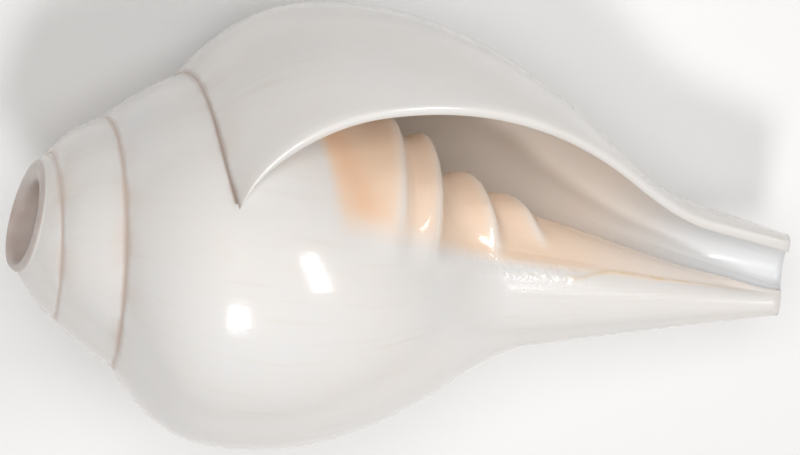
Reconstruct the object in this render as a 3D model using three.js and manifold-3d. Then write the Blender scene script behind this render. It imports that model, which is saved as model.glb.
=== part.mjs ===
// A blowing conch: one coiled shell with its tip cut off as a mouth hole.
// Millimetres, +Z up. The shell lies on its back with the opening upward.
import * as THREE from 'three';
import { ParametricGeometry } from 'three/addons/geometries/ParametricGeometry.js';
import { mergeGeometries, mergeVertices } from 'three/addons/utils/BufferGeometryUtils.js';
import Module from 'manifold-3d';

const TURN = 2 * Math.PI;
const degrees = THREE.MathUtils.degToRad;
const lerp = THREE.MathUtils.lerp;
const smooth = THREE.MathUtils.smoothstep;

// The coil. Angles are measured round the coiling axis, growing inward from the lip.
const LIP_ANGLE = degrees(9.4);
const GROWTH = 1.447;
const LIP_RADIUS = 50.7;
const SUTURE_REACH = 48.9;
const APEX_X = -18.9;
const LIP_DROP = 3.3;
const LIP_DROP_TURNS = 0.05;
const CANAL_TIP = 149;

// Profile of one whorl, in units of its largest radius.
const BELLY = 0.654;
const BELLY_CURVE = 0.39;
const SPOUT_SLOPE = 0.216;
const SPOUT_ZERO = 3.777;
const SPOUT_BLEND = 0.148;
const SHOULDER_BODY = 2.77;
const SHOULDER_SPIRE = 1.7;
const AXIS_RADIUS = 0.9;

// The outer lip sweeps back from its root to the tip of the canal.
const LIP_ARCH = degrees(25.3);
const LIP_ARCH_START = 0.072;
const LIP_LEAN = degrees(15.8);
const LIP_WALL = 2.2;
const DEEP_WALL = 3.6;
const DEEP_WALL_TURNS = 0.2;

// The hollow behind the lip.
const CANAL_OPEN = degrees(120);
const HOLLOW_TURNS = 4 / 3;
const HOLLOW_END = degrees(45);
const HOLLOW_DEPTH = 1.75;
const CORNER_GAP = 3;

// The end of the canal is cut at a slant, which fades out along the canal.
const TIP_SLANT = 0.25;
const TIP_SLANT_LENGTH = 25;

// Raised folds on the columella, counted from the shoulder toward the canal.
const FOLDS = [
  { x: 64.2, slant: 1.0, height: 4.5, start: degrees(-18) },
  { x: 72.6, slant: 0.6, height: 7.0, start: degrees(-18) },
  { x: 87.2, slant: -3.6, height: 4.0, start: degrees(-8) },
  { x: 98.6, slant: -5.8, height: 2.4, start: degrees(12) },
];
const FOLD_GROWTH = degrees(42);
const FOLD_BACK = 5.4;
const FOLD_FRONT = 1.8;
const SWELL_HEIGHT = 2.4;
const SWELL_X = 80;
const SWELL_WIDTH = 21;
const RIDGE_HEIGHT = 2.2;

// The cut tip: a leaning cut, a rounded rim, a cup and a straight way into the hollow.
const CUT_LEAN = 1.7;
const CUT_LEAN_ANGLE = degrees(40.7);
const GRIND_LENGTH = 8;
const GRIND_DEPTH = 0.2;
const CUP_RADIUS = 7.6;
const CUP_DEPTH = 9;
const WIND_RADIUS = 4.2;

// How it lies: the side turned down, the nod of the canal, and a flat worn on its back.
const REST_ANGLE = degrees(160);
const REST_NOD = degrees(5);
const FLAT_DEPTH = 0.4;

// Facets: columns round one turn, rows from suture to tip.
const COLUMNS = 39;
const SPIRE_COLUMNS = 145;
const BAND_ROWS = 5;
const BASE_ROWS = 24;
const RIM_ROWS = 3;
const STEP = TURN / COLUMNS;
const CANAL_COLUMNS = Math.round(CANAL_OPEN / STEP);
const HOLLOW_COLUMNS = Math.round(HOLLOW_TURNS * COLUMNS);
const HOLLOW_ANGLE = HOLLOW_COLUMNS * STEP;

const turnsAt = (angle) => (angle - LIP_ANGLE) / TURN;
const scaleAt = (angle) => GROWTH ** -turnsAt(angle);
const whorlRadius = (angle) => LIP_RADIUS * scaleAt(angle);

function sutureX(angle) {
  const drop = LIP_DROP * Math.exp(-turnsAt(angle) / LIP_DROP_TURNS);
  return APEX_X + SUTURE_REACH * scaleAt(angle) + drop;
}

function softMax(a, b, blend) {
  const h = Math.max(blend - Math.abs(a - b), 0) / blend;
  return Math.max(a, b) + h * h * blend / 4;
}

const shoulderAt = (angle) => lerp(SHOULDER_BODY, SHOULDER_SPIRE, smooth(turnsAt(angle), 0.75, 1.25));

function profile(along, start, shoulder) {
  if (along < BELLY) {
    return 1 - (1 - start) * (1 - Math.max(along, 0) / BELLY) ** shoulder;
  }
  const belly = 1 - BELLY_CURVE * (along - BELLY) ** 2;
  return softMax(belly, SPOUT_SLOPE * (SPOUT_ZERO - along), SPOUT_BLEND);
}

// Far up the spire every whorl starts at the same share of its radius.
const SPIRE_STEP = SUTURE_REACH * (GROWTH - 1) / LIP_RADIUS;
const SPIRE_SHARE = (1 - SPIRE_STEP / BELLY) ** SHOULDER_SPIRE;
const SPIRE_START = (1 - SPIRE_SHARE) / (GROWTH - SPIRE_SHARE);

// Radius of the smooth whorl surface. Each whorl starts on the one before it.
function whorlSurface(angle, x) {
  const radius = whorlRadius(angle);
  const before = angle + TURN;
  const step = (sutureX(angle) - sutureX(before)) / whorlRadius(before);
  const start = profile(step, SPIRE_START, shoulderAt(before)) / GROWTH;
  const plain = radius * profile((x - sutureX(angle)) / radius, start, shoulderAt(angle));
  const ground = 1 - GRIND_DEPTH * Math.max(1 - x / GRIND_LENGTH, 0) ** 2;
  return softMax(plain, AXIS_RADIUS, 1) * ground;
}

// Where the hollow ends toward the canal, at an angle behind the lip.
function hollowEndX(behind) {
  const angle = LIP_ANGLE + Math.max(behind, 0);
  const deep = sutureX(angle) + HOLLOW_DEPTH * whorlRadius(angle);
  return lerp(CANAL_TIP, deep, smooth(behind, CANAL_OPEN, CANAL_OPEN + Math.PI));
}

// Swelling and folds that the columella carries inside the opening.
function relief(angle, x) {
  const behind = angle - LIP_ANGLE - TURN;
  const toEnd = hollowEndX(behind) - x;
  const fade = smooth(toEnd, 0, 18) * smooth(x, 42, 58);
  const swell = SWELL_HEIGHT * Math.exp(-(((x - SWELL_X) / SWELL_WIDTH) ** 2));
  const ridge = RIDGE_HEIGHT * smooth(x, 80, 110);
  let height = (swell + ridge) * smooth(behind, degrees(-5), degrees(75));
  for (const fold of FOLDS) {
    const off = x - fold.x - fold.slant * behind;
    const width = off < 0 ? FOLD_BACK : FOLD_FRONT;
    const grown = fold.height * smooth(behind, fold.start, fold.start + FOLD_GROWTH);
    height += grown * Math.exp(-((off / width) ** 2));
  }
  return height * fade;
}

const shellSurface = (angle, x) => whorlSurface(angle, x) + relief(angle, x);

// Rows run from the suture to the canal tip, closer together over the folds.
const LIP_ROOT_X = sutureX(LIP_ANGLE);
const BAND_SHARE = (LIP_ROOT_X - sutureX(LIP_ANGLE + TURN)) / (CANAL_TIP - sutureX(LIP_ANGLE + TURN));

function baseShare(row) {
  const s = row / BASE_ROWS;
  if (s < 0.25) return lerp(0, 0.24, s / 0.25);
  if (s < 0.8) return lerp(0.24, 0.63, (s - 0.25) / 0.55);
  return lerp(0.63, 1, (s - 0.8) / 0.2);
}

function bodyShare(row) {
  if (row <= BAND_ROWS) return BAND_SHARE * row / BAND_ROWS;
  return lerp(BAND_SHARE, 1, baseShare(row - BAND_ROWS));
}

function bodyAngle(behind, share) {
  const sweep = LIP_ARCH * share / (share + LIP_ARCH_START) + LIP_LEAN * share;
  return LIP_ANGLE + behind + sweep * Math.max(1 - behind / CANAL_OPEN, 0);
}

function bodyWhorl(column, row) {
  const share = bodyShare(row);
  const angle = bodyAngle(column * STEP, share);
  const x = lerp(sutureX(angle), CANAL_TIP, share);
  return { x, angle, radius: shellSurface(angle, x) };
}

// The cut leans; its place follows from where the last suture reaches it.
const CUT_ANGLE = LIP_ANGLE + (SPIRE_COLUMNS - COLUMNS) * STEP;
const CUT_X = sutureX(CUT_ANGLE) - CUT_LEAN * Math.cos(CUT_ANGLE - CUT_LEAN_ANGLE);
const cutX = (angle) => CUT_X + CUT_LEAN * Math.cos(angle - CUT_LEAN_ANGLE);

function spireBand(column, row) {
  const angle = LIP_ANGLE + TURN + column * STEP;
  const top = Math.max(sutureX(angle), cutX(angle));
  const x = lerp(top, sutureX(angle - TURN), row / BAND_ROWS);
  return { x, angle, radius: whorlSurface(angle, x) };
}

function mouth(column, row) {
  const angle = CUT_ANGLE + column * STEP;
  const edge = cutX(angle);
  const rim = whorlSurface(angle, edge);
  const rings = [
    { x: edge, radius: rim },
    { x: edge - 1.2, radius: lerp(rim, CUP_RADIUS, 0.5) },
    { x: edge + 0.7, radius: CUP_RADIUS },
    { x: CUP_DEPTH * 0.7, radius: CUP_RADIUS * 0.85 },
    { x: CUP_DEPTH, radius: 0 },
  ];
  return { angle, ...rings[row] };
}

// The hollow: a smooth outer wall, and the columella with its folds as the inner wall.
function hollowCentre(behind) {
  const angle = LIP_ANGLE + behind;
  const x = lerp(sutureX(angle), hollowEndX(behind), 0.45);
  const radius = (whorlSurface(angle + TURN, x) + whorlSurface(angle, x) - DEEP_WALL) / 2;
  return { x, angle, radius };
}

function drawIn(spot, behind) {
  const late = Math.max(behind - HOLLOW_ANGLE + HOLLOW_END, 0) / HOLLOW_END;
  const open = Math.sqrt(Math.max(1 - late * late, 0));
  const centre = hollowCentre(behind);
  const x = lerp(centre.x, spot.x, open);
  const radius = lerp(centre.radius, spot.radius, open);
  return { x, angle: spot.angle, radius };
}

const hollowStartX = (angle, behind) => sutureX(angle) + CORNER_GAP * smooth(behind, 0, degrees(40));

function columella(column, row) {
  const behind = column * STEP;
  const angle = LIP_ANGLE + TURN + behind;
  const start = hollowStartX(angle - TURN, behind);
  const x = lerp(start, hollowEndX(behind), baseShare(row));
  return drawIn({ x, angle, radius: shellSurface(angle, x) }, behind);
}

function hollowWall(column, row) {
  const behind = column * STEP;
  const share = bodyShare(row);
  const angle = bodyAngle(behind, share);
  const x = lerp(hollowStartX(angle, behind), hollowEndX(behind), share);
  const inner = whorlSurface(angle + TURN, x);
  const room = whorlSurface(angle, x) - inner;
  const wall = lerp(LIP_WALL, DEEP_WALL, 1 - Math.exp(-behind / TURN / DEEP_WALL_TURNS));
  const clear = softMax(room - wall, room / 2, 1.5) - 0.375;
  const corner = Math.sqrt(1 - Math.max(1 - share / 0.22, 0) ** 2);
  const shut = Math.min(behind / CANAL_OPEN, 1) * Math.max(share - 0.55, 0) / 0.45;
  const radius = inner + clear * corner * Math.sqrt(1 - shut * shut);
  return drawIn({ x, angle, radius }, behind);
}

// The lip edge is a half-round nose between the outside and the hollow wall.
const noseShare = (row) => (1 - Math.cos(Math.PI * row / RIM_ROWS)) / 2;

function lipEdge(step, row) {
  const outside = bodyWhorl(0, row);
  const inside = hollowWall(0, row);
  const share = bodyShare(row);
  const bulge = Math.min(outside.radius - inside.radius, LIP_WALL) / 2 * (1 - share ** 8);
  const radius = lerp(outside.radius, inside.radius, noseShare(step));
  const angle = outside.angle - bulge * Math.sin(Math.PI * step / RIM_ROWS) / radius;
  return { x: outside.x, angle, radius };
}

const LAST_ROW = BAND_ROWS + BASE_ROWS;

function canalWallEnd(column, row) {
  const outside = bodyWhorl(column, LAST_ROW);
  const inside = hollowWall(column, LAST_ROW);
  return { ...outside, radius: lerp(outside.radius, inside.radius, noseShare(row)) };
}

function canalTipEnd(column, row) {
  const angle = LIP_ANGLE + CANAL_OPEN + column * STEP;
  const outer = shellSurface(angle, CANAL_TIP);
  const hub = shellSurface(LIP_ANGLE + TURN + CANAL_OPEN, CANAL_TIP);
  const radius = row > RIM_ROWS ? 0 : lerp(outer, hub, noseShare(row));
  return { x: CANAL_TIP, angle, radius };
}

// Corners are rounded to a micron so that sheets which meet share them exactly.
const micron = (value) => Math.round(value * 1000) / 1000;

// A sheet of facets; the side it faces is outward from the axis unless turned.
function sheet(columns, rows, place, turned) {
  const put = (column, row, target) => {
    const spot = place(Math.round(column * columns), Math.round(row * rows));
    const y = spot.radius * Math.sin(spot.angle);
    const z = spot.radius * Math.cos(spot.angle);
    const slant = TIP_SLANT * z * smooth(spot.x, CANAL_TIP - TIP_SLANT_LENGTH, CANAL_TIP);
    target.set(micron(spot.x - slant), micron(y), micron(z));
  };
  if (turned) {
    return new ParametricGeometry((u, v, target) => put(u, v, target), columns, rows);
  }
  return new ParametricGeometry((u, v, target) => put(v, u, target), rows, columns);
}

const wasm = await Module();
wasm.setup();

function solidOf(geometry) {
  geometry.deleteAttribute('normal');
  geometry.deleteAttribute('uv');
  const merged = mergeVertices(geometry, 1e-4);
  const corners = [];
  const index = merged.index.array;
  for (let i = 0; i < index.length; i += 3) {
    const [a, b, c] = index.slice(i, i + 3);
    if (a !== b && b !== c && c !== a) corners.push(a, b, c);
  }
  const mesh = new wasm.Mesh({
    numProp: 3,
    vertProperties: new Float32Array(merged.attributes.position.array),
    triVerts: new Uint32Array(corners),
  });
  return new wasm.Manifold(mesh);
}

const skin = solidOf(mergeGeometries([
  sheet(COLUMNS, LAST_ROW, bodyWhorl, false),
  sheet(SPIRE_COLUMNS - COLUMNS, BAND_ROWS, spireBand, false),
  sheet(COLUMNS, 4, mouth, true),
  sheet(HOLLOW_COLUMNS, BASE_ROWS, columella, false),
  sheet(HOLLOW_COLUMNS, LAST_ROW, hollowWall, true),
  sheet(RIM_ROWS, LAST_ROW, lipEdge, true),
  sheet(CANAL_COLUMNS, RIM_ROWS, canalWallEnd, false),
  sheet(COLUMNS, RIM_ROWS + 1, canalTipEnd, false),
]));

// A straight way for the breath, from the cup to the inner end of the hollow.
function windWay() {
  const end = hollowCentre(HOLLOW_ANGLE - HOLLOW_END / 2);
  const from = new THREE.Vector3(CUP_DEPTH / 2, 0, 0);
  const to = new THREE.Vector3(end.x, end.radius * Math.sin(end.angle), end.radius * Math.cos(end.angle));
  const along = to.clone().sub(from);
  const way = new THREE.CylinderGeometry(WIND_RADIUS, WIND_RADIUS, along.length(), 20);
  const course = along.clone().normalize();
  way.applyQuaternion(new THREE.Quaternion().setFromUnitVectors(THREE.Object3D.DEFAULT_UP, course));
  way.translate(...from.add(to).multiplyScalar(0.5));
  return solidOf(way);
}

function geometryOf(solid) {
  const mesh = solid.getMesh();
  const geometry = new THREE.BufferGeometry();
  geometry.setAttribute('position', new THREE.BufferAttribute(new Float32Array(mesh.vertProperties), 3));
  geometry.setIndex(new THREE.BufferAttribute(new Uint32Array(mesh.triVerts), 1));
  return geometry;
}

// Laid down on its back, then worn flat where it touches.
const laid = geometryOf(skin.subtract(windWay()));
laid.rotateX(REST_ANGLE - Math.PI);
laid.rotateY(REST_NOD);
laid.computeBoundingBox();
laid.translate(0, 0, -laid.boundingBox.min.z - FLAT_DEPTH);
const below = new THREE.BoxGeometry(400, 400, 20);
below.translate(0, 0, -10);
const geometry = geometryOf(solidOf(laid).subtract(solidOf(below)));
geometry.computeBoundingBox();
const middle = geometry.boundingBox.getCenter(new THREE.Vector3());
geometry.translate(-middle.x, -middle.y, 0);
geometry.computeVertexNormals();

const polished = new THREE.MeshStandardMaterial({ color: 0xece8e4, roughness: 0.25 });
const shell = new THREE.Mesh(geometry, polished);
shell.name = 'shell';
const part = new THREE.Group();
part.add(shell);
export default part;
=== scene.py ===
import math
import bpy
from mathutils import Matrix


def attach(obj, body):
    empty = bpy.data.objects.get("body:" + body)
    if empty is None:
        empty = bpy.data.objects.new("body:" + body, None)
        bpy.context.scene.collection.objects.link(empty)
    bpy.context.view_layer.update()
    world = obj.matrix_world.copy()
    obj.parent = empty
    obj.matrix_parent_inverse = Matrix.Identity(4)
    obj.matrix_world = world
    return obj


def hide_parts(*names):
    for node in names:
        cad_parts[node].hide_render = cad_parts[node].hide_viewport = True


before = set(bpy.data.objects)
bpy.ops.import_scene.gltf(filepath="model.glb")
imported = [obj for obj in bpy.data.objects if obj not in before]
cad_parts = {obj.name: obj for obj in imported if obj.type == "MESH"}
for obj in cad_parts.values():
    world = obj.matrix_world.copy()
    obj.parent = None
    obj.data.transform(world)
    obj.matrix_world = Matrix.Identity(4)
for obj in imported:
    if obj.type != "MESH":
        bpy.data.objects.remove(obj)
from types import SimpleNamespace

import bpy
from mathutils import Matrix, Vector

TURN = 2 * math.pi
DEGREE = math.pi / 180
MILLIMETRE = 0.001

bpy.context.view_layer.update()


class Term:
    """One socket of a node tree, so that a formula reads as plain Python."""

    def __init__(self, tree, socket):
        self.tree = tree
        self.socket = socket

    def node(self, kind, settings=None, inputs=None, output=0):
        """Add a node of any kind to the same tree and give back one of its outputs."""
        return add_node(self.tree, kind, settings, inputs, output)

    def math(self, operation, *others):
        inputs = {index + 1: other for index, other in enumerate(others)}
        return self.node("ShaderNodeMath", {"operation": operation}, {0: self, **inputs})

    def reflected(self, operation, other):
        return self.node("ShaderNodeMath", {"operation": operation}, {0: other, 1: self})

    def __add__(self, other):
        return self.math("ADD", other)

    def __radd__(self, other):
        return self.reflected("ADD", other)

    def __sub__(self, other):
        return self.math("SUBTRACT", other)

    def __rsub__(self, other):
        return self.reflected("SUBTRACT", other)

    def __mul__(self, other):
        return self.math("MULTIPLY", other)

    def __rmul__(self, other):
        return self.reflected("MULTIPLY", other)

    def __truediv__(self, other):
        return self.math("DIVIDE", other)

    def __rtruediv__(self, other):
        return self.reflected("DIVIDE", other)

    def __pow__(self, other):
        return self.math("POWER", other)

    def __rpow__(self, other):
        return self.reflected("POWER", other)

    def __neg__(self):
        return self.math("MULTIPLY", -1.0)

    def __abs__(self):
        return self.math("ABSOLUTE")

    def most(self, other):
        return self.math("MAXIMUM", other)

    def least(self, other):
        return self.math("MINIMUM", other)

    def over(self, other):
        return self.math("GREATER_THAN", other)

    def floor(self):
        return self.math("FLOOR")

    def sin(self):
        return self.math("SINE")

    def cos(self):
        return self.math("COSINE")

    def exp(self):
        return self.math("EXPONENT")

    def root(self):
        return self.math("SQRT")

    def bell(self, width):
        """A bump of height one that fades over the given width."""
        share = self / width
        return (-(share * share)).exp()

    def ramp(self, low, high):
        """Zero below low, one above high, eased between."""
        settings = {"interpolation_type": "SMOOTHSTEP"}
        limits = {"Value": self, "From Min": low, "From Max": high}
        return self.node("ShaderNodeMapRange", settings, limits)


def add_node(tree, kind, settings=None, inputs=None, output=0):
    node = tree.nodes.new(kind)
    for name, value in (settings or {}).items():
        setattr(node, name, value)
    for key, value in (inputs or {}).items():
        if isinstance(value, Term):
            tree.links.new(value.socket, node.inputs[key])
        else:
            node.inputs[key].default_value = value
    return Term(tree, node.outputs[output])


def blend(start, end, share):
    return start + (end - start) * share


def soft_most(first, second, width):
    close = ((width - abs(first - second)) / width).most(0)
    return first.most(second) + close * close * (width / 4)


# Sizes of the shell, in millimetres, degrees and shares of a whorl's radius.
SIZES = {
    "lip_angle": 9.4,
    "growth": 1.447,
    "lip_radius": 50.7,
    "suture_reach": 48.9,
    "apex_x": -18.9,
    "lip_drop": 3.3,
    "lip_drop_turns": 0.05,
    "canal_tip": 149.0,
    "belly": 0.654,
    "belly_curve": 0.39,
    "spout_slope": 0.216,
    "spout_zero": 3.777,
    "spout_blend": 0.148,
    "shoulder_body": 2.77,
    "shoulder_spire": 1.7,
    "spire_start": 0.6527,
    "axis_radius": 0.9,
    "lip_arch": 25.3,
    "lip_arch_start": 0.072,
    "lip_lean": 15.8,
    "lip_wall": 2.2,
    "deep_wall": 3.6,
    "deep_wall_turns": 0.2,
    "canal_open": 120.0,
    "hollow_end": 45.0,
    "hollow_depth": 1.75,
    "corner_gap": 3.0,
    "tip_slant": 0.25,
    "tip_slant_length": 25.0,
    "hollow_middle_x": 36.5,
    "hollow_middle_radius": 20.0,
    "fold_back": 5.4,
    "fold_front": 1.8,
    "swell_height": 2.4,
    "swell_x": 80.0,
    "swell_width": 21.0,
    "ridge_height": 2.2,
    "cut_lean": 1.7,
    "cut_lean_angle": 40.7,
    "grind_length": 8.0,
    "grind_depth": 0.2,
    "cup_radius": 7.6,
    "cup_depth": 9.0,
}

# Raised folds on the columella: place, slant per radian, height, angle at which they start.
FOLDS = [(64.2, 1.0, 4.5, -18), (72.6, 0.6, 7.0, -18), (87.2, -3.6, 4.0, -8), (98.6, -5.8, 2.4, 12)]

# How it lies, as in the solids.
REST_ANGLE = 160.0
REST_NOD = 5.0
SHELL_SPOT = (-73.254, -4.01, 47.645)

# Mesh density.
COLUMNS = 180
CANAL_COLUMNS = 60
HOLLOW_COLUMNS = 240
SPIRE_COLUMNS = 669
BAND_ROWS = 22
BASE_ROWS = 98
RIM_ROWS = 8
CUP_ROWS = 12
STEP = TURN / COLUMNS
LAST_ROW = BAND_ROWS + BASE_ROWS

# Sheets without a seam are far from any. The cut rim steps in and is rounded over.
NO_SEAM = 99.0
RIM_STEP = 0.7
RIM_ROUND = 1.4
FOLD_GROWTH = 42
WELD = 0.004


def lay_matrix():
    """From the coiling axis to the frame in which the shell lies on its back."""
    roll = Matrix.Rotation((REST_ANGLE - 180) * DEGREE, 4, "X")
    nod = Matrix.Rotation(REST_NOD * DEGREE, 4, "Y")
    return Matrix.Translation(Vector(SHELL_SPOT)) @ nod @ roll


def shell_tree(material):
    tree = bpy.data.node_groups.new("shell_growth", "GeometryNodeTree")
    tree.interface.new_socket("Geometry", in_out="OUTPUT", socket_type="NodeSocketGeometry")
    identifiers = {}
    for name in SIZES:
        socket = tree.interface.new_socket(name, in_out="INPUT", socket_type="NodeSocketFloat")
        identifiers[name] = socket.identifier
    source = tree.nodes.new("NodeGroupInput")
    s = SimpleNamespace(**{name: Term(tree, source.outputs[name]) for name in SIZES})
    lip_angle = s.lip_angle * DEGREE
    canal_open = s.canal_open * DEGREE

    def suture_x(angle):
        turns = (angle - lip_angle) / TURN
        drop = s.lip_drop * (-turns / s.lip_drop_turns).exp()
        return s.apex_x + s.suture_reach * s.growth ** -turns + drop

    def coil(angle):
        """Radius, suture place and shoulder of the whorl at an angle."""
        turns = (angle - lip_angle) / TURN
        radius = s.lip_radius * s.growth ** -turns
        shoulder = blend(s.shoulder_body, s.shoulder_spire, turns.ramp(0.75, 1.25))
        return SimpleNamespace(radius=radius, suture=suture_x(angle), shoulder=shoulder)

    def profile(along, start, shoulder):
        back = 1 - (1 - start) * (1 - along.most(0) / s.belly).most(0) ** shoulder
        off = along - s.belly
        spout = s.spout_slope * (s.spout_zero - along)
        front = soft_most(1 - s.belly_curve * off * off, spout, s.spout_blend)
        return blend(back, front, along.over(s.belly))

    def whorl_surface(here, before, x):
        """Radius of a smooth whorl, which starts on the whorl before it."""
        step = (here.suture - before.suture) / before.radius
        start = profile(step, s.spire_start, before.shoulder) / s.growth
        plain = here.radius * profile((x - here.suture) / here.radius, start, here.shoulder)
        worn = (1 - x / s.grind_length).most(0)
        return soft_most(plain, s.axis_radius, 1.0) * (1 - s.grind_depth * worn * worn)

    def hollow_end_x(behind):
        here = coil(lip_angle + behind.most(0))
        deep = here.suture + s.hollow_depth * here.radius
        return blend(s.canal_tip, deep, behind.ramp(canal_open, canal_open + math.pi))

    def relief(behind, x):
        """Swelling and folds that the columella carries inside the opening."""
        fade = (hollow_end_x(behind) - x).ramp(0, 18) * x.ramp(42, 58)
        swell = s.swell_height * (x - s.swell_x).bell(s.swell_width)
        ridge = s.ridge_height * x.ramp(80, 110)
        height = (swell + ridge) * behind.ramp(-5 * DEGREE, 75 * DEGREE)
        for place, slant, rise, start in FOLDS:
            growing = behind.ramp(start * DEGREE, (start + FOLD_GROWTH) * DEGREE)
            off = x - place - behind * slant
            width = blend(s.fold_back, s.fold_front, off.over(0))
            height = height + off.bell(width) * rise * growing
        return height * fade

    def note(mesh, name, value):
        settings = {"data_type": "FLOAT", "domain": "POINT"}
        wanted = {"Geometry": mesh, "Name": name, "Value": value}
        return add_node(tree, "GeometryNodeStoreNamedAttribute", settings, wanted)

    def read(name):
        return add_node(tree, "GeometryNodeInputNamedAttribute", {"data_type": "FLOAT"}, {"Name": name})

    def sheet(columns, rows, spot, turned):
        """A grid whose corners hold place along the axis, angle and depth behind the lip."""
        counts = {"Vertices X": columns + 1, "Vertices Y": rows + 1}
        mesh = add_node(tree, "GeometryNodeMeshGrid", None, counts)
        index = add_node(tree, "GeometryNodeInputIndex")
        column = ((index + 0.5) / (rows + 1)).floor()
        x, angle, behind, notes = spot(column, index - column * (rows + 1))
        point = add_node(tree, "ShaderNodeCombineXYZ", None, {0: x, 1: angle, 2: behind})
        mesh = add_node(tree, "GeometryNodeSetPosition", None, {"Geometry": mesh, "Position": point})
        for name, value in notes.items():
            mesh = note(mesh, name, value)
        if turned:
            return mesh
        return add_node(tree, "GeometryNodeFlipFaces", None, {"Mesh": mesh})

    second_x = suture_x(lip_angle + TURN)
    band_share = (suture_x(lip_angle + 0.0) - second_x) / (s.canal_tip - second_x)

    def base_share(row):
        """Rows stand closer together over the folds."""
        share = row / BASE_ROWS
        return share + (share * TURN).sin() * (0.5 / TURN)

    def band_part(row):
        return (row / BAND_ROWS) ** 1.5

    def body_share(row):
        band = band_share * band_part(row.least(BAND_ROWS))
        base = blend(band_share, 1.0, base_share((row - BAND_ROWS).most(0)))
        return blend(band, base, row.over(BAND_ROWS))

    def body_angle(behind, share):
        sweep = (s.lip_arch * share / (share + s.lip_arch_start) + s.lip_lean * share) * DEGREE
        return lip_angle + behind + sweep * (1 - behind / canal_open).most(0)

    def body(column, row):
        share = body_share(row)
        angle = body_angle(column * STEP, share)
        suture = suture_x(angle)
        x = blend(suture, s.canal_tip, share)
        return x, angle, 0.0, {"seam": x - suture}

    cut_angle = lip_angle + (SPIRE_COLUMNS - COLUMNS) * STEP
    lean_angle = s.cut_lean_angle * DEGREE
    cut_place = suture_x(cut_angle) - s.cut_lean * (cut_angle - lean_angle).cos()

    def cut_x(angle):
        return cut_place + s.cut_lean * (angle - lean_angle).cos()

    def spire(column, row):
        angle = lip_angle + TURN + column * STEP
        suture = suture_x(angle)
        following = suture_x(angle - TURN)
        x = blend(suture.most(cut_x(angle)), following, band_part(row))
        return x, angle, 0.0, {"seam": (x - suture).least(following - x)}

    def mouth_rim(column, row):
        angle = cut_angle + column * STEP
        share = row / RIM_ROWS
        notes = {
            "seam": NO_SEAM,
            "given": s.cup_radius,
            "given_share": nose_share(row),
            "cut": (share * 4).least(1.0),
            "nudge": share * RIM_STEP - (share * math.pi).sin() * RIM_ROUND,
        }
        return cut_x(angle), angle, 0.0, notes

    def mouth_cup(column, row):
        angle = cut_angle + column * STEP
        share = row / CUP_ROWS
        bend = (share * (math.pi / 2)).sin()
        x = blend(cut_x(angle) + RIM_STEP, s.cup_depth, bend)
        notes = {
            "seam": NO_SEAM,
            "given": s.cup_radius * (1 - share * bend),
            "given_share": 1.0,
            "cut": share + 1.0,
        }
        return x, angle, 0.0, notes

    def hollow_start_x(angle, behind):
        return suture_x(angle) + s.corner_gap * behind.ramp(0, 40 * DEGREE)

    def columella(column, row):
        behind = column * STEP
        angle = lip_angle + behind
        x = blend(hollow_start_x(angle, behind), hollow_end_x(behind), base_share(row))
        return x, angle + TURN, behind, {"seam": NO_SEAM}

    def hollow_wall(column, row):
        behind = column * STEP
        share = body_share(row)
        angle = body_angle(behind, share)
        x = blend(hollow_start_x(angle, behind), hollow_end_x(behind), share)
        return x, angle, behind, {"seam": NO_SEAM, "inside": 1.0, "share": share}

    def nose_share(row):
        return (1 - (row * (math.pi / RIM_ROWS)).cos()) / 2

    def lip_edge(step, row):
        x, angle, behind, notes = body(row * 0.0, row)
        notes["inside"] = nose_share(step)
        notes["share"] = body_share(row)
        notes["nose"] = (step * (math.pi / RIM_ROWS)).sin()
        return x, angle, behind, notes

    def canal_wall_end(column, row):
        behind = column * STEP
        angle = body_angle(behind, column * 0.0 + 1.0)
        return s.canal_tip, angle, behind, {"seam": NO_SEAM, "inside": nose_share(row), "share": 1.0}

    def canal_tip_end(column, row):
        angle = lip_angle + canal_open + column * STEP
        hub = s.axis_radius * (1 - row.over(RIM_ROWS + 0.5))
        notes = {"seam": NO_SEAM, "given": hub, "given_share": nose_share(row.least(RIM_ROWS))}
        return s.canal_tip, angle, 0.0, notes

    join = tree.nodes.new("GeometryNodeJoinGeometry")
    for piece in [
        sheet(COLUMNS, LAST_ROW, body, False),
        sheet(SPIRE_COLUMNS - COLUMNS, BAND_ROWS, spire, False),
        sheet(COLUMNS, RIM_ROWS, mouth_rim, True),
        sheet(COLUMNS, CUP_ROWS, mouth_cup, True),
        sheet(HOLLOW_COLUMNS, BASE_ROWS, columella, False),
        sheet(HOLLOW_COLUMNS, LAST_ROW, hollow_wall, True),
        sheet(RIM_ROWS, LAST_ROW, lip_edge, True),
        sheet(CANAL_COLUMNS, RIM_ROWS, canal_wall_end, False),
        sheet(COLUMNS, RIM_ROWS + 1, canal_tip_end, False),
    ]:
        tree.links.new(piece.socket, join.inputs[0])
    skin = Term(tree, join.outputs[0])

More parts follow.
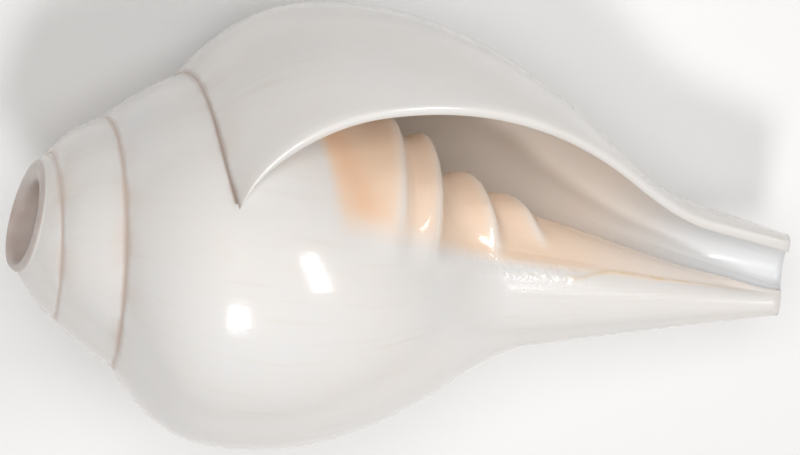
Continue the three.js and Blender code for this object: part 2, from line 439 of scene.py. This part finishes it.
    # All sheets together: from place, angle and depth to a point of the shell.
    position = skin.node("GeometryNodeInputPosition")
    apart = position.node("ShaderNodeSeparateXYZ", None, {0: position}).socket.node
    x, angle, behind = [Term(tree, apart.outputs[index]) for index in range(3)]
    share, inside, given_share = read("share"), read("inside"), read("given_share")
    here, before, earlier = coil(angle), coil(angle + TURN), coil(angle + 2 * TURN)
    plain = whorl_surface(here, before, x)
    inner = whorl_surface(before, earlier, x)
    outer = plain + relief(angle - lip_angle - TURN, x)
    room = plain - inner
    wall = blend(s.lip_wall, s.deep_wall, 1 - (-(behind / TURN) / s.deep_wall_turns).exp())
    clear = soft_most(room - wall, room / 2, 1.5) - 0.375
    past = (1 - share / 0.22).most(0)
    shut = (behind / canal_open).least(1.0) * (share - 0.55).most(0) / 0.45
    window = ((1 - past * past) * (1 - shut * shut)).most(0).root()
    hollow = inner + clear * window
    radius = blend(outer, hollow, inside)
    bulge = (outer - hollow).least(s.lip_wall) / 2 * (1 - share ** 8) * read("nose")
    swung = angle - bulge / radius
    hollow_angle = HOLLOW_COLUMNS * STEP
    end_angle = s.hollow_end * DEGREE
    late = (behind - hollow_angle + end_angle).most(0) / end_angle
    open_share = (1 - late * late).most(0).root()
    radius = blend(blend(s.hollow_middle_radius, radius, open_share), read("given"), given_share)
    along = blend(s.hollow_middle_x, x, open_share) + read("nudge")
    skin = note(skin, "along", along)
    skin = note(skin, "turned", (angle - lip_angle - TURN) / DEGREE)
    skin = note(skin, "depth", behind / DEGREE)
    toward = radius * swung.cos()
    slant = s.tip_slant * toward * x.ramp(s.canal_tip - s.tip_slant_length, s.canal_tip)
    spot = {0: along - slant, 1: radius * swung.sin(), 2: toward}
    point = add_node(tree, "ShaderNodeCombineXYZ", None, spot)
    skin = add_node(tree, "GeometryNodeSetPosition", None, {"Geometry": skin, "Position": point})
    skin = add_node(tree, "GeometryNodeMergeByDistance", None, {"Geometry": skin, "Distance": WELD})
    for name in ("share", "given", "given_share", "nose", "nudge"):
        skin = add_node(tree, "GeometryNodeRemoveAttribute", None, {"Geometry": skin, "Name": name})

    lay = {
        "Geometry": skin,
        "Translation": [value * MILLIMETRE for value in SHELL_SPOT],
        "Rotation": ((REST_ANGLE - 180) * DEGREE, REST_NOD * DEGREE, 0.0),
        "Scale": (MILLIMETRE, MILLIMETRE, MILLIMETRE),
    }
    skin = skin.node("GeometryNodeTransform", None, lay)
    position = skin.node("GeometryNodeInputPosition")
    above_floor = {0: position, 1: (-9.0, -9.0, 0.0)}
    flat = position.node("ShaderNodeVectorMath", {"operation": "MAXIMUM"}, above_floor)
    skin = flat.node("GeometryNodeSetPosition", None, {"Geometry": skin, "Position": flat})
    skin = skin.node("GeometryNodeSetShadeSmooth", None, {"Geometry": skin, "Shade Smooth": True})
    skin = skin.node("GeometryNodeRealizeInstances", None, {"Geometry": skin})
    skin = skin.node("GeometryNodeSetMaterial", None, {"Geometry": skin, "Material": material})
    sink = tree.nodes.new("NodeGroupOutput")
    tree.links.new(skin.socket, sink.inputs[0])
    return tree, identifiers


def grow_shell(material):
    tree, identifiers = shell_tree(material)
    holder = bpy.data.objects.new("shell_maker", bpy.data.meshes.new("shell_maker"))
    bpy.context.scene.collection.objects.link(holder)
    modifier = holder.modifiers.new("growth", "NODES")
    modifier.node_group = tree
    for name, value in SIZES.items():
        modifier[identifiers[name]] = value
    graph = bpy.context.evaluated_depsgraph_get()
    mesh = bpy.data.meshes.new_from_object(holder.evaluated_get(graph), depsgraph=graph)
    mesh.name = "conch_shell"
    shell = bpy.data.objects.new("conch_shell", mesh)
    bpy.context.scene.collection.objects.link(shell)
    holder.modifiers.remove(modifier)
    bpy.data.objects.remove(holder)
    return shell


# Colours of the shell.
WARM_WHITE = (0.82, 0.795, 0.77, 1)
COOL_WHITE = (0.80, 0.795, 0.79, 1)
GROWTH_LINE = (0.76, 0.69, 0.62, 1)
ROSY_WHITE = (0.83, 0.76, 0.70, 1)
GREIGE = (0.90, 0.82, 0.74, 1)
CANAL_BLUE = (0.76, 0.78, 0.80, 1)
PEACH = (0.95, 0.68, 0.47, 1)
ORANGE = (0.92, 0.50, 0.27, 1)
CREST_WHITE = (0.90, 0.83, 0.77, 1)
TAN = (0.52, 0.36, 0.27, 1)
SEAM_BROWN = (0.27, 0.15, 0.09, 1)
SEAM_STAIN = (0.70, 0.56, 0.46, 1)
# Painted shade: brown for the rim of the cut tip and the top of the hole's inner wall.
RIM_SHADE_BROWN = (0.42, 0.30, 0.25, 1)
CUP_BROWN = (0.62, 0.50, 0.44, 1)
GOLD = (0.74, 0.52, 0.22, 1)


def tint(base, colour, share):
    return share.node("ShaderNodeMix", {"data_type": "RGBA"}, {0: share, 6: base, 7: colour}, 2)


def polished_shell():
    """Glossy warm white, tan seams, a peach columella and a greige hollow."""
    material = bpy.data.materials.new("polished_shell")
    material.use_nodes = True
    tree = material.node_tree
    finish = tree.nodes["Principled BSDF"]

    def read(name):
        return add_node(tree, "ShaderNodeAttribute", {"attribute_name": name}, None, "Fac")

    def noise(place, scale, detail=3.0):
        wanted = {"Vector": place, "Scale": scale, "Detail": detail, "Roughness": 0.55}
        return add_node(tree, "ShaderNodeTexNoise", None, wanted, "Fac")

    along, turned, depth = read("along"), read("turned"), read("depth")
    seam, cut, inside = read("seam"), read("cut"), read("inside")
    spot = add_node(tree, "ShaderNodeTexCoord", None, None, "Object")
    growth = add_node(tree, "ShaderNodeCombineXYZ", None, {0: turned * 0.11, 1: along * 0.012})
    clouds = noise(spot, 38.0, 4.0)
    blotches = noise(spot, 110.0, 3.0)
    streaks = noise(growth, 3.0, 4.0)
    pits = noise(spot, 420.0, 2.0)
    grain = noise(spot, 900.0, 2.0)

    # Warm and cool whites drift into each other, with faint lines of growth.
    colour = tint(WARM_WHITE, COOL_WHITE, clouds.ramp(0.35, 0.7))
    colour = tint(colour, GROWTH_LINE, streaks.ramp(0.52, 0.8) * 0.35)
    colour = tint(colour, ROSY_WHITE, blotches.ramp(0.55, 0.75) * 0.25)

    # The wall of the hollow is greige, and cooler along the canal.
    hollow_colour = tint(GREIGE, CANAL_BLUE, along.ramp(108, 136))
    deep = inside * depth.ramp(-2, 26)
    colour = tint(colour, hollow_colour, deep * 0.85)

    # The columella: peach with an orange core, whiter on the crests of the folds.
    edge = along + turned * 0.12 + blotches * 2.0
    low = turned + clouds * 5.0 + (along - 80).most(0) * 0.12
    peach = edge.ramp(51.8, 55.6) * low.ramp(-5, 9) * (1 - inside) * turned.ramp(300, 120)
    peach = peach * (1 - along.ramp(96, 128) * 0.68) * along.ramp(150, 136)
    colour = tint(colour, PEACH, peach * (0.74 + (clouds - 0.5) * 0.5))
    core = (along + turned * 0.19 - 58.2 + (blotches - 0.5) * 3.0).bell(3.4) * turned.ramp(-2, 8)
    colour = tint(colour, ORANGE, core * peach * 0.4)
    for place, slant, _, start in FOLDS:
        crest = (along - place - turned * (slant * DEGREE) - 0.3).bell(1.5)
        shown = turned.ramp(start - 4, start + 20)
        colour = tint(colour, CREST_WHITE, crest * shown * peach * 0.8)

    # A fine golden edge where the glaze of the columella ends.
    bend = along.ramp(112, 104) * 13.0
    margin = (turned + bend + (clouds - 0.5) * 9.0 + 1.0).bell(3.2)
    margin = margin * along.ramp(100, 106) * along.ramp(140, 132)
    colour = tint(colour, GOLD, margin * (1 - inside) * blotches.ramp(0.35, 0.6) * 0.55)

    # Seams between the whorls, browner near the lip, and the cut tip, with painted shade in brown on
    # its rim and the top of the hole's inner wall.
    line = seam.bell(0.32 + (blotches - 0.4).most(0) * 1.2)
    stain = seam.bell(2.4) * 0.3
    tan = tint(TAN, SEAM_BROWN, along.ramp(22, 32))
    colour = tint(colour, SEAM_STAIN, stain * blotches.ramp(0.3, 0.7))
    colour = tint(colour, tan, line * (0.5 + along.ramp(22, 32) * 0.25 + (clouds - 0.5) * 0.6))
    # Painted shade: brown darkening on the cut rim and the top of the hole's inner wall; the same mask
    # also roughens the ground rim.
    rim = cut.ramp(0.15, 0.6) * cut.ramp(1.35, 1.0)
    colour = tint(colour, RIM_SHADE_BROWN, rim * (0.55 + (blotches - 0.5) * 0.8))
    colour = tint(colour, CUP_BROWN, cut.ramp(1.0, 1.3) * 0.7)

    rough = 0.11 + clouds * 0.06 + streaks * 0.04 + inside * 0.22 + rim * 0.25 + line * 0.2
    uneven = turned.ramp(-24, -10) * turned.ramp(8, -2) * along.ramp(78, 86) * along.ramp(112, 104)
    height = clouds * 0.5 + streaks * 0.35 + grain * 0.02 - line * 1.2
    height = height + blotches * (0.12 + uneven * 2.2) + pits * uneven * 3.0 + margin * 0.8
    relief = {"Strength": 0.22, "Distance": 0.0006, "Height": height}
    bump = height.node("ShaderNodeBump", None, relief, "Normal")

    tree.links.new(colour.socket, finish.inputs["Base Color"])
    tree.links.new(rough.socket, finish.inputs["Roughness"])
    tree.links.new(bump.socket, finish.inputs["Normal"])
    finish.inputs["IOR"].default_value = 1.52
    finish.inputs["Subsurface Weight"].default_value = 0.12
    finish.inputs["Subsurface Radius"].default_value = (1.0, 0.7, 0.5)
    finish.inputs["Subsurface Scale"].default_value = 0.003
    finish.inputs["Coat Weight"].default_value = 0.35
    finish.inputs["Coat Roughness"].default_value = 0.06
    return material


def floor_sheet():
    mesh = bpy.data.meshes.new("floor")
    reach = 3.0
    corners = [(-reach, -reach, 0), (reach, -reach, 0), (reach, reach, 0), (-reach, reach, 0)]
    mesh.from_pydata(corners, [], [(0, 1, 2, 3)])
    floor = bpy.data.objects.new("floor", mesh)
    bpy.context.scene.collection.objects.link(floor)
    material = bpy.data.materials.new("pale_floor")
    material.use_nodes = True
    finish = material.node_tree.nodes["Principled BSDF"]
    finish.inputs["Base Color"].default_value = (0.9, 0.9, 0.9, 1)
    finish.inputs["Roughness"].default_value = 0.7
    mesh.materials.append(material)
    return floor


def area_light(name, spot, aim, size, power):
    data = bpy.data.lights.new(name, "AREA")
    data.shape = "RECTANGLE"
    data.size, data.size_y = size
    data.energy = power
    light = bpy.data.objects.new(name, data)
    light.location = spot
    light.rotation_euler = (Vector(aim) - Vector(spot)).to_track_quat("-Z", "Y").to_euler()
    bpy.context.scene.collection.objects.link(light)
    return light


def soft_room():
    """A pale room, brightest overhead."""
    world = bpy.data.worlds.new("room")
    world.use_nodes = True
    tree = world.node_tree
    way = add_node(tree, "ShaderNodeTexCoord", None, None, "Generated")
    height = add_node(tree, "ShaderNodeSeparateXYZ", None, {0: way}, 2)
    side = add_node(tree, "ShaderNodeSeparateXYZ", None, {0: way}, 1)
    lit = (height - side * 0.35).ramp(-0.3, 1.1)
    glow = tree.nodes["Background"]
    glow.inputs["Color"].default_value = (1.0, 0.94, 0.88, 1)
    tree.links.new((0.11 + lit * 0.2).socket, glow.inputs["Strength"])
    bpy.context.scene.world = world


def camera():
    """The photograph's view: nearly square on to the opening, cut tip toward the viewer."""
    tilt, roll = 13.8 * DEGREE, 5.47 * DEGREE
    distance, lens_px, pivot = 650.0, 3406.0, Vector((73.0, 0.0, 0.0))
    toward = Vector((-math.sin(tilt), 0, math.cos(tilt)))
    right = Vector((math.cos(tilt) * math.cos(roll), math.sin(roll), math.sin(tilt) * math.cos(roll)))
    up = toward.cross(right)
    lay = lay_matrix()
    turn = lay.to_3x3() @ Matrix((right, up, toward)).transposed()
    data = bpy.data.cameras.new("camera")
    data.sensor_width = 36
    data.lens = 36 * lens_px / 800
    data.shift_x = -6.0 / 800
    data.shift_y = 31.4 / 800
    data.clip_end = 20
    view = bpy.data.objects.new("camera", data)
    spot = lay @ (pivot + toward * distance)
    view.matrix_world = Matrix.Translation(spot * MILLIMETRE) @ turn.to_4x4()
    bpy.context.scene.collection.objects.link(view)
    bpy.context.scene.camera = view


camera()
shell = grow_shell(polished_shell())
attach(shell, "root")
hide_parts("shell")
floor_sheet()

area_light("flash", (0.5, 0.17, 0.66), (-0.02, 0, 0.06), (0.28, 0.12), 1.3)
area_light("window", (0.02, -0.3, 0.96), (-0.03, 0, 0.06), (0.2, 0.2), 2.8)
beside = area_light("beside_camera", (-0.16, 0.36, 1.0), (0, 0, 0.04), (0.5, 0.5), 4.8)
beside.visible_glossy = False
soft_room()
bpy.context.scene.view_settings.view_transform = "Standard"
